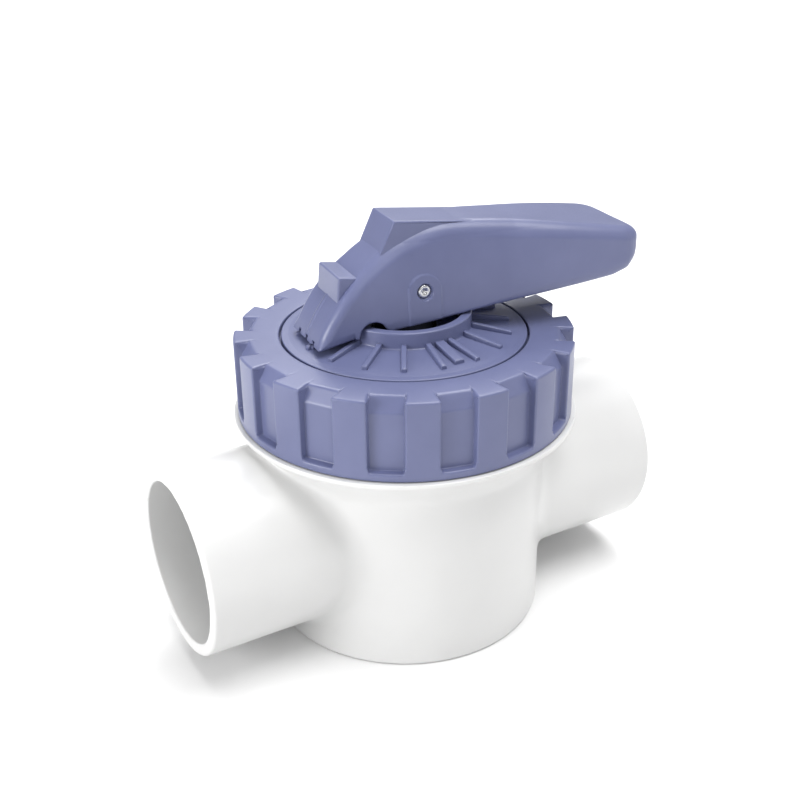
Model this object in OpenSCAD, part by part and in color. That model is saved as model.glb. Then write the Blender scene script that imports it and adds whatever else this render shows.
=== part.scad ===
// Three way diverter valve for solvent welded pipe, with a spring loaded lift and turn lever.
// Millimetres. +Z is up, +X runs along the straight pair of ports, +Y points out of the branch port.
// The origin is the centre of the flat underside of the chamber.

/* [Chamber and ports] */
// Outer radius of the round chamber
chamber_r = 55.1; // [54:0.1:57]
// Height of the port axis above the underside
port_z = 45; // [44:0.5:47]
// Outer radius of each port
port_r = 36.25; // [35.5:0.25:37]
// Radius of the pipe socket in each port
socket_r = 31.5; // [31.3:0.05:31.6]
// Depth of the pipe sockets of the straight run
socket_depth = 38; // [34:1:38]
// Depth of the pipe socket of the branch
branch_depth = 32; // [28:1:32]
// Distance from the chamber axis to the mouth of each run port
run_length = 99.5; // [98:0.5:104]
// Distance from the chamber axis to the mouth of the branch port
branch_length = 84; // [84:0.5:90]
// Radius of the water way behind each socket
bore_r = 28.5; // [26:0.5:29]
// Radius of the chamber at its floor
floor_r = 47.4; // [47:0.1:48]
// Radius of the chamber at the underside of the neck
seat_r = 49.4; // [49:0.1:49.6]
// Thickness of the chamber floor
floor_t = 7; // [6:0.5:8]

/* [Neck and lock ring] */
// Outer radius of the flange below the lock ring
flange_r = 67.2; // [66.5:0.1:68]
// Height of the top of the flange
flange_z = 87.3; // [87:0.1:87.4]
// Height of the top of the threaded neck
neck_top = 110.5; // [110:0.5:111]
// Radius of the neck at the root of its thread
neck_r = 58.2; // [58:0.1:58.4]
// Outer radius of the lock ring
ring_r = 65.5; // [65:0.1:66]
// Height of the lower edge of the lock ring
ring_low = 87.7; // [87.6:0.1:88]
// Height of the top face of the lock ring
ring_top = 118.2; // [118:0.1:118.4]
// Radius of the hole in the top of the lock ring
ring_hole_r = 48.1; // [48:0.1:48.4]
// Number of grip pockets round the lock ring
pocket_count = 16; // [12:1:16]
// Width of one grip pocket
pocket_w = 13; // [11:0.5:13]
// Depth of one grip pocket
pocket_depth = 3; // [2:0.25:3]
// Pitch of the screw thread between neck and ring
thread_pitch = 5; // [4:0.5:5]

/* [Cover] */
// Number of locking ribs on the cover
rib_count = 18; // [18:1:20]
// Outer radius of the locking ribs
rib_r = 41.5; // [40:0.5:43]
// Outer radius of the raised collar
collar_r = 26; // [25.5:0.1:26.4]
// Height of the collar above the lock ring
collar_h = 8.7; // [8:0.1:8.8]

/* [Rotor] */
// Radius of the stem
stem_r = 11; // [10.5:0.1:11.4]
// Half the angle that the closing pad of the diverter covers
pad_half_angle = 44; // [42:1:46]
// Number of turns in the rotor spring
spring_turns = 4; // [3:1:5]

/* [Handle] */
// Direction of the handle about the vertical axis, in degrees
handle_yaw = -6; // [-10:1:10]
// Height of the pivot pin above the lock ring
pin_h = 19.8; // [19.6:0.1:20.8]
// Distance of the pivot pin from the valve axis, towards the tail
pin_u = 1.7; // [0:0.1:2]
// Radius of the pivot pin
pin_r = 2.6; // [2.4:0.1:3]
// Distance from the axis to the tip of the nose
nose_reach = 40.2; // [39:0.1:40.4]
// Distance from the axis to the end of the tail
tail_reach = 95; // [92:0.5:97]
// Half the width of the handle at its nose
nose_half_w = 14.1; // [14:0.1:14.5]
// Half the width of the handle at its waist
waist_half_w = 16.8; // [16.5:0.1:17]
// Half the width of the handle at its tail
tail_half_w = 21.5; // [20:0.1:22]
// Thickness of the handle walls
handle_wall = 3; // [2.5:0.25:3]

/* [Hidden] */
$fn = 96;

// Colours
white_pvc = [0.94, 0.94, 0.93];
blue_grey = [0.47, 0.50, 0.68];
steel = [0.72, 0.73, 0.75];
rubber_black = [0.10, 0.10, 0.11];
acetal_white = [0.88, 0.88, 0.84];
dark_plastic = [0.22, 0.23, 0.26];

// Clearances: a turning or sliding fit, a gap between parts that only pass, and a cutting overrun
fit_gap = 0.05;
pass_gap = 0.35;
over = 1;

// Neck and thread
thread_h = 1.8;
thread_w = 2;
thread_gap = 0.5;
neck_bore_r = 52;
neck_step_z = 95;
ring_bore_r = neck_r + thread_h + thread_gap;
ring_wall_top = 115.6;
cover_flange_top = 115;
cover_flange_r = 57.4;
thread_steps = 12;
thread_turns = 1.5;
thread_start = 7;
thread_low = flange_z + 6;

// Cover
cover_plug_r = neck_bore_r - 0.3;
cover_plug_low = 97;
cover_disc_r = ring_hole_r - 0.45;
cover_roof = 112;
cone_r = 44.5;
cone_top = ring_top + 2.4;
collar_wall = 3.4;
boss_r = 17;
boss_low = 96;
boss_bore_r = 12.5;
collar_floor = ring_top + 2;
wiper_low = collar_floor - 3;
bush_low = 110;
cover_ring_z = 103;
cover_ring_wire_r = 1.6;
plug_wall = 5;
rib_w = 2;
wide_rib_w = 3.8;
rib_phase = -0.6;

// Rotor
stem_flange_r = 26;
rotor_top = 84;
stem_flange_t = 4;
stem_flange_top = rotor_top + stem_flange_t;
rotor_low = 15;
washer_t = 1;
spring_r = 22.3;
washer_r = 25.5;
washer_hole_r = 19;
spring_wire_r = 1.5;
spring_low = stem_flange_top + washer_t;
spring_high = cover_roof - washer_t - 0.1;
trunnion_r = 8;
bush_wall = 2.5;
bearing_wall = 3;
bush_top = 13;
column_r = 10;
screw_ring_r = 15;
screw_r = 2;
screw_length = 13;
pad_gap = 0.4;
seal_t = 2;
pad_t = 4;
plate_t = 4;
plate_r = 44.2;
rim = 11;
clamp_low = rotor_low + rim;
clamp_high = rotor_top - rim;
clamp_half_angle = pad_half_angle - 12;
clamp_sink = 0.8;
clamp_hole_r = 1.5;
square_r = 8;
square_half = 6.5;
square_h = 8;

// Stem head and handle
pin_z = ring_top + pin_h;
head_half_u = 11;
head_half_v = 9.4;
spacer_t = 1;
boss_face_v = head_half_v + 0.15 + spacer_t;
o_ring_wire_r = 1.3;
o_ring_r = boss_bore_r - 0.08 - o_ring_wire_r;
o_ring_heights = [99.5, 105.5];

// Radius of the tapered chamber at height z
function chamber_bore(z) = floor_r + (seat_r - floor_r) * (z - floor_t) / (flange_z - floor_t);

// Half the width of the handle at distance u along it: straight to the waist, then flared to the tail
flare_from = 10;
flare_to = 82;
function flare(t) = t * t * (3 - 2 * t);
function half_w(u) =
    u < flare_from
    ? nose_half_w + (waist_half_w - nose_half_w) * (u + nose_reach) / (flare_from + nose_reach)
    : waist_half_w + (tail_half_w - waist_half_w) * flare(min(1, (u - flare_from) / (flare_to - flare_from)));

// Height of the crest of the handle above the lock ring at distance u along it
crest_h = 43.6;
crest_u = 12;
crest_drop = 11.4;
nose_tip_h = 2.8;
function crest(u) =
    u < crest_u
    ? nose_tip_h + (crest_h - nose_tip_h) * pow(1 - pow((crest_u - u) / (crest_u + nose_reach), 1.9), 0.78)
    : crest_h - crest_drop * pow((u - crest_u) / (tail_reach - crest_u), 1.4);

// Height of the lower edge of the handle above the lock ring at distance u along it
belly_u = -13;
belly_h = 6.65;
nose_slope = 0.17;
belly_slope = 0.091;
function belly(u) =
    u < belly_u
    ? nose_tip_h + nose_slope * (u + nose_reach)
    : belly_h + belly_slope * (u - belly_u);

// Puts what is modelled along the handle's own length at its height and direction
module on_handle() {
    rotate([0, 0, handle_yaw]) translate([0, 0, ring_top]) children();
}

// Tube standing on z = low
module tube(r_out, r_in, low, high) {
    difference() {
        translate([0, 0, low]) cylinder(r = r_out, h = high - low);
        translate([0, 0, low - over]) cylinder(r = r_in, h = high - low + 2 * over);
    }
}

// Round rubber ring with a round section
module o_ring(r, wire_r, z) {
    translate([0, 0, z]) rotate_extrude() translate([r, 0]) circle(r = wire_r, $fn = 32);
}

// Thread ridge that climbs in short level arcs with narrow gaps, from radius r_in to r_out
module thread_ridge(r_in, r_out, low) {
    step_angle = 360 / thread_steps;
    for (i = [0 : thread_steps * thread_turns - 1])
        translate([0, 0, low + thread_pitch * i / thread_steps])
            rotate([0, 0, thread_start + step_angle * i])
                rotate_extrude(angle = step_angle - 2)
                    translate([r_in, 0]) square([r_out - r_in, thread_w]);
}

// Outside of one port, lying along +X from the chamber axis
module port_outside(length) {
    lip = 1.2;
    rotate([0, 90, 0]) cylinder(r = port_r, h = length - lip);
    translate([length - lip, 0, 0]) rotate([0, 90, 0]) cylinder(r1 = port_r, r2 = port_r - lip, h = lip);
}

// Socket and water way of one port, lying along +X from the chamber axis
module port_inside(length, depth) {
    rotate([0, 90, 0]) cylinder(r = bore_r, h = length);
    translate([length - depth, 0, 0]) rotate([0, 90, 0]) cylinder(r = socket_r, h = depth + over);
}

module valve_body() {
    cone_low = flange_z - 12;
    flange_t = 2;
    color(white_pvc) difference() {
        union() {
            cylinder(r = chamber_r, h = flange_z);
            translate([0, 0, cone_low])
                cylinder(r1 = chamber_r, r2 = flange_r - 3, h = flange_z - cone_low - flange_t);
            translate([0, 0, flange_z - flange_t]) cylinder(r = flange_r, h = flange_t);
            cylinder(r = neck_r, h = neck_top);
            thread_ridge(neck_r - 1, neck_r + thread_h, thread_low);
            for (side = [0, 180])
                rotate([0, 0, side]) translate([0, 0, port_z]) port_outside(run_length);
            rotate([0, 0, 90]) translate([0, 0, port_z]) port_outside(branch_length);
        }
        translate([0, 0, floor_t]) cylinder(r1 = floor_r, r2 = seat_r, h = flange_z - floor_t);
        translate([0, 0, flange_z - over]) cylinder(r = seat_r, h = neck_top - flange_z + 2 * over);
        translate([0, 0, neck_step_z]) cylinder(r = neck_bore_r, h = neck_top);
        for (side = [0, 180])
            rotate([0, 0, side]) translate([0, 0, port_z]) port_inside(run_length, socket_depth);
        rotate([0, 0, 90]) translate([0, 0, port_z]) port_inside(branch_length, branch_depth);
    }
    bearing_r = trunnion_r + bush_wall;
    color(white_pvc) tube(bearing_r + bearing_wall, bearing_r, floor_t - 0.01, bush_top);
}

module pivot_bush() {
    color(acetal_white) tube(trunnion_r + bush_wall, trunnion_r + fit_gap, floor_t, bush_top);
}

// Locking rib on the cone of the cover: it falls from the collar to the rim
module cover_rib(width, reach) {
    foot = ring_top - 1;
    inner = collar_r - 1.5;
    tip_h = 1.8;
    top_slope = 0.17;
    root_h = 4.6;
    rotate([90, 0, 0]) translate([0, 0, -width / 2]) linear_extrude(height = width)
        polygon([
            [inner, foot], [reach, foot],
            [reach, ring_top + tip_h + top_slope * (rib_r - reach)], [inner, ring_top + root_h]
        ]);
}

module cover() {
    color(blue_grey) difference() {
        union() {
            translate([0, 0, cover_plug_low]) cylinder(r = cover_plug_r, h = neck_top - cover_plug_low);
            translate([0, 0, neck_top]) cylinder(r = cover_flange_r, h = cover_flange_top - neck_top);
            cylinder(r = cover_disc_r, h = ring_top);
            translate([0, 0, ring_top]) cylinder(r1 = cone_r, r2 = collar_r - 0.5, h = cone_top - ring_top);
            cylinder(r = collar_r, h = ring_top + collar_h);
            for (i = [0 : rib_count - 1])
                rotate([0, 0, rib_phase + 360 / rib_count * i]) cover_rib(rib_w, rib_r);
            for (i = [0 : 3])
                rotate([0, 0, rib_phase - 90 + 90 * i]) cover_rib(wide_rib_w, rib_r - 1.5);
        }
        translate([0, 0, -over]) cylinder(r = seat_r + 0.1, h = cover_plug_low + over);
        translate([0, 0, cover_plug_low - over])
            cylinder(r = cover_plug_r - plug_wall, h = cover_roof - cover_plug_low + over);
        translate([0, 0, collar_floor]) cylinder(r = collar_r - collar_wall, h = collar_h + over);
        translate([0, 0, boss_low]) cylinder(r = boss_bore_r, h = ring_top);
        o_ring(cover_plug_r - 1.25, cover_ring_wire_r + 0.15, cover_ring_z);
    }
    color(blue_grey) tube(boss_r, boss_bore_r, boss_low, collar_floor - 1);
}

module cover_o_ring() {
    color(rubber_black) o_ring(cover_plug_r - 1.35, cover_ring_wire_r, cover_ring_z);
}

// Cuts one grip pocket, on the +X side of the lock ring
module grip_pocket() {
    floor_x = ring_r - pocket_depth;
    ledge = ring_low + 3;
    corner = 1.5;
    top_x = 59.1;
    slope_low = ring_top - 5.5;
    translate([floor_x, 0, 0]) rotate([90, 0, 90]) linear_extrude(height = pocket_depth + over) union() {
        translate([-pocket_w / 2, ledge + corner]) square([pocket_w, ring_top]);
        translate([corner - pocket_w / 2, ledge]) square([pocket_w - 2 * corner, corner + over]);
        for (side = [-1, 1])
            translate([side * (pocket_w / 2 - corner), ledge + corner]) circle(r = corner, $fn = 24);
    }
    translate([0, pocket_w / 2, 0]) rotate([90, 0, 0]) linear_extrude(height = pocket_w)
        polygon([
            [floor_x + over, slope_low], [floor_x, slope_low], [top_x, ring_top],
            [top_x, ring_top + over], [floor_x + over, ring_top + over]
        ]);
}

module lock_ring() {
    pocket_phase = 8.8;
    edge = 0.6;
    color(blue_grey) union() {
        difference() {
            union() {
                translate([0, 0, ring_low]) cylinder(r = ring_r, h = ring_top - ring_low - edge);
                translate([0, 0, ring_top - edge]) cylinder(r1 = ring_r, r2 = ring_r - edge, h = edge);
            }
            translate([0, 0, ring_low - over]) cylinder(r = ring_bore_r, h = ring_wall_top - ring_low + over);
            translate([0, 0, ring_low]) cylinder(r = ring_hole_r, h = ring_top);
            for (i = [0 : pocket_count - 1])
                rotate([0, 0, pocket_phase + 360 / pocket_count * i]) grip_pocket();
        }
        thread_ridge(neck_r + thread_gap, ring_bore_r + 0.5, thread_low + thread_pitch / 2);
    }
}

module slip_washer() {
    low = cover_flange_top + 0.02;
    high = ring_wall_top - 0.02;
    color(acetal_white) tube(cover_flange_r - 0.2, ring_hole_r + 0.2, low, high);
}

module stem_bush() {
    color(acetal_white) tube(boss_bore_r, stem_r + fit_gap, bush_low, wiper_low);
}

module dust_wiper() {
    color(rubber_black) tube(boss_bore_r, stem_r + pass_gap, wiper_low, collar_floor);
}

module upper_spring_washer() {
    color(steel) tube(washer_r, washer_hole_r, spring_high, cover_roof - 0.1);
}

module lower_spring_washer() {
    color(steel) tube(washer_r, washer_hole_r, stem_flange_top, spring_low);
}

// Coil spring with ground ends, swept round a helix that flattens at both ends
module rotor_spring() {
    sides = 8;
    per_turn = 24;
    dead = 0.75;
    wire_flat = 0.97;
    total = spring_turns + 2 * dead;
    rings = total * per_turn;
    rise = spring_high - spring_low - 2 * spring_wire_r;
    function climb(t) = min(1, max(0, (t - dead) / spring_turns));
    points = [
        for (i = [0 : rings]) for (k = [0 : sides - 1])
            let (t = i / per_turn, angle = 360 * t, side = 360 * k / sides)
            let (r = spring_r + spring_wire_r * cos(side))
            [
                r * cos(angle), r * sin(angle),
                spring_low + spring_wire_r + rise * climb(t) + spring_wire_r * wire_flat * sin(side)
            ]
    ];
    walls = [
        for (i = [0 : rings - 1]) for (k = [0 : sides - 1])
            let (next = (k + 1) % sides)
            [i * sides + k, i * sides + next, (i + 1) * sides + next, (i + 1) * sides + k]
    ];
    ends = [[for (k = [sides - 1 : -1 : 0]) k], [for (k = [0 : sides - 1]) rings * sides + k]];
    color(steel) polyhedron(points = points, faces = concat(walls, ends));
}

// Square peg with rounded corners between stem and diverter, larger all round by grow
module square_drive(grow) {
    side = 2 * (square_half + grow);
    intersection() {
        cylinder(r = square_r + grow, h = square_h + over);
        translate([-side / 2, -side / 2, 0]) cube([side, side, square_h + over]);
    }
}

module stem() {
    head_low = ring_top + collar_h - 3;
    head_r = 14;
    groove_half_h = o_ring_wire_r + 0.1;
    color(dark_plastic) difference() {
        union() {
            translate([0, 0, rotor_top]) cylinder(r = stem_flange_r, h = stem_flange_t);
            translate([0, 0, rotor_top]) cylinder(r = stem_r, h = pin_z - rotor_top - head_half_u);
            rotate([0, 0, handle_yaw]) translate([pin_u, 0, 0]) intersection() {
                union() {
                    translate([-head_half_u, -head_half_v, head_low])
                        cube([2 * head_half_u, 2 * head_half_v, pin_z - head_low]);
                    translate([0, head_half_v, pin_z]) rotate([90, 0, 0])
                        cylinder(r = head_half_u, h = 2 * head_half_v);
                }
                translate([0, 0, ring_top]) cylinder(r = head_r, h = pin_h + 2 * head_half_u);
            }
            translate([0, 0, rotor_top - square_h]) square_drive(0);
        }
        rotate([0, 0, handle_yaw]) translate([pin_u, head_half_v + over, pin_z]) rotate([90, 0, 0])
            cylinder(r = pin_r + fit_gap, h = 2 * head_half_v + 2 * over);
        for (z = o_ring_heights)
            tube(stem_r + over, o_ring_r - o_ring_wire_r - 0.05, z - groove_half_h, z + groove_half_h);
        for (i = [0 : 3])
            rotate([0, 0, 45 + 90 * i]) translate([screw_ring_r, 0, rotor_top - over])
                cylinder(r = screw_r + 0.2, h = stem_flange_t + 2 * over);
    }
}

module upper_stem_o_ring() {
    color(rubber_black) o_ring(o_ring_r, o_ring_wire_r, o_ring_heights[1]);
}

module lower_stem_o_ring() {
    color(rubber_black) o_ring(o_ring_r, o_ring_wire_r, o_ring_heights[0]);
}

// Pan head screw with a cross slot, pointing down, its head resting on z = 0
module pan_screw(shank_r, length, head_r, head_h) {
    slot_w = 0.8;
    difference() {
        union() {
            translate([0, 0, -length]) cylinder(r = shank_r, h = length + head_h / 2, $fn = 32);
            cylinder(r = head_r, h = head_h * 0.6, $fn = 32);
            translate([0, 0, head_h * 0.6])
                cylinder(r1 = head_r, r2 = head_r * 0.7, h = head_h * 0.4, $fn = 32);
        }
        for (turn = [0, 90])
            rotate([0, 0, turn]) translate([-head_r * 0.6, -slot_w / 2, head_h * 0.45])
                cube([head_r * 1.2, slot_w, head_h]);
    }
}

module stem_screws() {
    color(steel) for (i = [0 : 3])
        rotate([0, 0, 45 + 90 * i]) translate([screw_ring_r, 0, stem_flange_top])
            pan_screw(screw_r, screw_length, 3.2, 2.6);
}

// Block bounded by two radii that follow the taper of the chamber, over an angle about the nose direction
module tapered_sector(low, high, gap_out, gap_in, half_angle) {
    rotate([0, 0, 180 + handle_yaw - half_angle]) rotate_extrude(angle = 2 * half_angle, $fn = 144)
        polygon([
            [chamber_bore(low) - gap_in, low], [chamber_bore(low) - gap_out, low],
            [chamber_bore(high) - gap_out, high], [chamber_bore(high) - gap_in, high]
        ]);
}

module diverter() {
    pad_out = pad_gap + seal_t;
    hub_r = 20;
    hub_h = 13;
    web_t = 3.5;
    color(dark_plastic) difference() {
        union() {
            translate([0, 0, rotor_top - plate_t]) cylinder(r = plate_r, h = plate_t);
            translate([0, 0, rotor_low]) cylinder(r = plate_r, h = plate_t);
            translate([0, 0, rotor_top - hub_h - 1]) cylinder(r = hub_r, h = hub_h);
            translate([0, 0, rotor_low]) cylinder(r = column_r, h = rotor_top - rotor_low - 1);
            translate([0, 0, floor_t + 1]) cylinder(r = trunnion_r, h = rotor_low - floor_t);
            tapered_sector(rotor_low - 0.5, rotor_top + 0.5, pad_out, pad_out + pad_t, pad_half_angle);
            for (turn = [-30, 0, 30])
                rotate([0, 0, 180 + handle_yaw + turn]) translate([0, -web_t / 2, rotor_low + 1])
                    cube([plate_r - 1, web_t, rotor_top - rotor_low - 2]);
        }
        translate([0, 0, rotor_top - square_h - 0.1]) square_drive(fit_gap);
        for (i = [0 : 3])
            rotate([0, 0, 45 + 90 * i]) translate([screw_ring_r, 0, stem_flange_top - screw_length - over])
                cylinder(r = screw_r, h = screw_length + over);
        for (i = clamp_places) clamp_hole(i);
    }
}

// Clamp screws: angle off the nose direction and height
clamp_places = [[-22, 30], [22, 30], [-22, 64], [22, 64]];

// Hole for one clamp screw
module clamp_hole(place) {
    rotate([0, 0, 180 + handle_yaw + place[0]]) translate([37, 0, place[1]]) rotate([0, 90, 0])
        cylinder(r = clamp_hole_r, h = 12);
}

module diverter_seal() {
    color(rubber_black) difference() {
        tapered_sector(rotor_low + 1, rotor_top - 1, pad_gap, pad_gap + seal_t, pad_half_angle - 1);
        tapered_sector(clamp_low, clamp_high, pad_gap - over, pad_gap + seal_t + over, clamp_half_angle);
    }
}

module seal_clamp() {
    color(dark_plastic) difference() {
        tapered_sector(clamp_low, clamp_high, pad_gap + clamp_sink, pad_gap + seal_t - 0.02, clamp_half_angle);
        for (i = clamp_places) clamp_hole(i);
    }
}

module clamp_screws() {
    length = 4.3;
    color(steel) for (place = clamp_places)
        rotate([0, 0, 180 + handle_yaw + place[0]])
            translate([chamber_bore(place[1]) - pad_gap - clamp_sink - length - 0.2, 0, place[1]])
                rotate([0, 90, 0]) cylinder(r = clamp_hole_r, h = length, $fn = 32);
}

// Side view of the handle, drawn as distance along it and height, and set in by an even wall
module handle_side(inset, low_inset) {
    steps = 28;
    from_u = -nose_reach + inset;
    to_u = tail_reach - inset;
    span = to_u - from_u;
    top = [for (i = [1 : steps]) let (u = from_u + span * i / steps) [u, crest(u) - inset]];
    under = [
        [to_u, 24], [to_u - 2, 20], [to_u - 7, 17], [to_u - 14, belly(to_u - 14)],
        [belly_u, belly(belly_u)], [belly_u - 0.1, belly(belly_u - 0.1)]
    ];
    polygon(concat(
        [[from_u, belly(from_u)]], top,
        [for (p = under) [p[0], p[1] - low_inset]],
        [[from_u, belly(from_u) - low_inset]]
    ));
}

// Plan view of the handle with rounded tail corners, set in by an even wall
module handle_plan(inset) {
    corner = 9;
    mid_u = tail_reach - corner;
    side_w = half_w(mid_u) - corner;
    steps = 16;
    places = [for (i = [0 : steps]) flare_from + (mid_u - 1 - flare_from) * i / steps];
    near = concat(
        [[-nose_reach + inset, -nose_half_w + inset]],
        [for (u = places) [u, -half_w(u) + inset]],
        [for (a = [-90 : 15 : -15]) [mid_u + (corner - inset) * cos(a), -side_w + (corner - inset) * sin(a)]]
    );
    last = len(near) - 1;
    polygon(concat(near, [for (i = [last : -1 : 0]) [near[i][0], -near[i][1]]]));
}

// Solid between the side view and the plan view of the handle
module handle_solid(inset, low_inset) {
    intersection() {
        translate([0, 30, 0]) rotate([90, 0, 0]) linear_extrude(height = 60) handle_side(inset, low_inset);
        translate([0, 0, -30]) linear_extrude(height = 120) handle_plan(inset);
    }
}

// Raised block across the handle, from its side view as a list of corners
module handle_block(corners, half_width) {
    translate([0, half_width, 0]) rotate([90, 0, 0]) linear_extrude(height = 2 * half_width) polygon(corners);
}

module handle() {
    block_half_w = 9.8;
    cut = 30;
    sign_corners = [[-33, 17], [-30, 28.6], [-22.5, 27.4], [-18, 26]];
    name_corners = [[-14.6, 32], [-8.2, 46.7], [38, 41], [38, 38]];
    notch_u = -18.7;
    notch_r = 5.5;
    notch_h = 5.6;
    color(blue_grey) on_handle() difference() {
        union() {
            difference() {
                handle_solid(0, 0);
                handle_solid(handle_wall, 10);
            }
            for (side = [-1, 1]) intersection() {
                handle_solid(0.5, 0);
                translate([pin_u - 8, side > 0 ? boss_face_v : -boss_face_v - 8, 11]) cube([16, 8, 18]);
            }
            handle_block(sign_corners, block_half_w);
            handle_block(name_corners, block_half_w);
        }
        translate([notch_u, cut, notch_h]) rotate([90, 0, 0]) cylinder(r = notch_r, h = 2 * cut, $fn = 48);
        translate([notch_u - notch_r, -cut, -5]) cube([2 * notch_r, 2 * cut, notch_h + 5]);
        translate([pin_u, cut, pin_h]) rotate([90, 0, 0]) cylinder(r = pin_r, h = 2 * cut, $fn = 48);
    }
}

module pivot_pin() {
    reach = half_w(0) - 0.4;
    color(steel) on_handle() translate([pin_u, 0, pin_h]) difference() {
        translate([0, reach, 0]) rotate([90, 0, 0]) cylinder(r = pin_r, h = 2 * reach);
        for (side = [0, 180])
            rotate([0, 0, side]) translate([0, -reach - 0.01, 0]) rotate([-90, 0, 0])
                cylinder(r1 = 1.4, r2 = 0.2, h = 1.2);
    }
}

module pin_spacers() {
    color(acetal_white) on_handle() translate([pin_u, 0, pin_h]) for (side = [0, 180])
        rotate([0, 0, side]) translate([0, boss_face_v, 0]) rotate([90, 0, 0]) difference() {
            cylinder(r = 6, h = spacer_t);
            translate([0, 0, -over]) cylinder(r = pin_r, h = spacer_t + 2 * over);
        }
}

valve_body();
pivot_bush();
cover();
cover_o_ring();
lock_ring();
slip_washer();
stem_bush();
dust_wiper();
upper_spring_washer();
rotor_spring();
lower_spring_washer();
stem();
upper_stem_o_ring();
lower_stem_o_ring();
stem_screws();
diverter();
diverter_seal();
seal_clamp();
clamp_screws();
handle();
pivot_pin();
pin_spacers();
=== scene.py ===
"""Looks of the three way diverter valve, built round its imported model.

Lengths below are in millimetres, and turned into metres where a mesh is made.
"""
import math

import bpy
import numpy as np
from mathutils import Matrix, Vector


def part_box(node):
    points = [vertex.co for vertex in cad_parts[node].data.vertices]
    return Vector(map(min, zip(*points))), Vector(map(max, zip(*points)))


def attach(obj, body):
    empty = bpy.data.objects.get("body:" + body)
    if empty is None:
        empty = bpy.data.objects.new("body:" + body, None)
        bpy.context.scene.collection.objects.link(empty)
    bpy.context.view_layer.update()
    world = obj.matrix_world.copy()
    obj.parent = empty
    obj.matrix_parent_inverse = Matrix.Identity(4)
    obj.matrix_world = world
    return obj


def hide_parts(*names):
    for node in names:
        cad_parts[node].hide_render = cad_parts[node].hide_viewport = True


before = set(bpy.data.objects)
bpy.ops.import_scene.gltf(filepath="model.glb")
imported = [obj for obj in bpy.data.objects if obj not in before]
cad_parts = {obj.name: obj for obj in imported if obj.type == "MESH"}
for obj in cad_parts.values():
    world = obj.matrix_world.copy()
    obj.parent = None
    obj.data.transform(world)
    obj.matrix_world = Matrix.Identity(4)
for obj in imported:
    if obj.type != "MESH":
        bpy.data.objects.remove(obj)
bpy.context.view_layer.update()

MM = 0.001


def box_mm(node):
    """Lowest and highest corner of a CAD node, in millimetres."""
    lo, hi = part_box(node)
    return lo / MM, hi / MM


# Sizes read from the parts of the imported model
body_lo, body_hi = box_mm("valve_body")
ring_lo, ring_hi = box_mm("lock_ring")
cover_lo, cover_hi = box_mm("cover")
pin_lo, pin_hi = box_mm("pivot_pin")
washer_lo, washer_hi = box_mm("slip_washer")
RUN_LENGTH = body_hi.x
BRANCH_LENGTH = body_hi.y
NECK_TOP = body_hi.z
FLANGE_R = -body_lo.y
RING_R = ring_hi.x
RING_LOW = ring_lo.z
RING_TOP = ring_hi.z
COLLAR_TOP = cover_hi.z
BOSS_LOW = cover_lo.z
PIN_Z = (pin_lo.z + pin_hi.z) / 2
PIN_R = (pin_hi.z - pin_lo.z) / 2

# Sizes used by more than one piece or function
PORT_Z = 45.0
PORT_R = 36.25
CHAMBER_R = 55.1
HANDLE_YAW = math.radians(-6)
FLANGE_Z = RING_LOW - 0.4
NECK_R = 58.2
RING_BORE_R = 60.5
RING_HOLE_R = 48.1
COVER_DISC_R = 47.2
COLLAR_R = 26.0
SEAT_R = 49.4
THREAD_PITCH = 5.0
THREAD_TURNS = 1.5
THREAD_WIDTH = 1.4
THREAD_STEPS = 64
THREAD_RUNOUT = 6
FINE_STEP = 0.4


# ---------------------------------------------------------------- mesh making

def make_piece(name, points, faces, body, slot, replaced, normals=None):
    """A smooth shaded piece from points in millimetres, in the material of its slot."""
    mesh = bpy.data.meshes.new(name)
    mesh.from_pydata([tuple(c * MM for c in p) for p in points], [], faces)
    mesh.validate()
    mesh.shade_smooth()
    mesh.materials.append(MATERIALS[slot])
    piece = bpy.data.objects.new(name, mesh)
    bpy.context.scene.collection.objects.link(piece)
    if normals is None:
        weighted = piece.modifiers.new("weighted", "WEIGHTED_NORMAL")
        weighted.keep_sharp = True
        weighted.weight = 80
    else:
        mesh.normals_split_custom_set_from_vertices(normals)
    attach(piece, body)
    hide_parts(replaced)


class Shape:
    """Points and faces of a mesh under construction."""

    def __init__(self):
        self.points = []
        self.faces = []

    def grid(self, rows, closed):
        """Quads between closed rows of points, and from the last row to the first if closed."""
        count, width, base = len(rows), len(rows[0]), len(self.points)
        for i in range(count if closed else count - 1):
            a, b = base + i * width, base + ((i + 1) % count) * width
            for j in range(width):
                k = (j + 1) % width
                self.faces.append((a + j, a + k, b + k, b + j))
        self.points.extend(p for row in rows for p in row)

    def lathe(self, profile, steps=192):
        """Turns a closed (radius, height) profile, anticlockwise seen with radius to the right."""
        rows = []
        for r, z in profile:
            rows.append([
                (r * math.cos(math.tau * k / steps), r * math.sin(math.tau * k / steps), z)
                for k in range(steps)
            ])
        self.grid(rows, True)

    def loft(self, sections):
        """Closed sections joined in a row, with a flat cap on each end."""
        first, width = len(self.points), len(sections[0])
        self.grid(sections, False)
        last = len(self.points) - width
        self.faces.append(tuple(first + width - 1 - j for j in range(width)))
        self.faces.append(tuple(last + j for j in range(width)))


def fillet_path(corners, steps=4):
    """Rounds each (x, y, radius) corner of a closed path with a short arc."""
    path = []
    count = len(corners)
    for i, (x, y, radius) in enumerate(corners):
        here = Vector((x, y))
        before = Vector(corners[i - 1][:2]) - here
        after = Vector(corners[(i + 1) % count][:2]) - here
        if radius <= 0:
            path.append((x, y))
            continue
        half = before.angle(after) / 2
        reach = min(radius / math.tan(half), before.length * 0.49, after.length * 0.49)
        start = here + before.normalized() * reach
        end = here + after.normalized() * reach
        for k in range(steps + 1):
            t = k / steps
            p = start * (1 - t) ** 2 + here * 2 * t * (1 - t) + end * t ** 2
            path.append((p.x, p.y))
    return path


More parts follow.
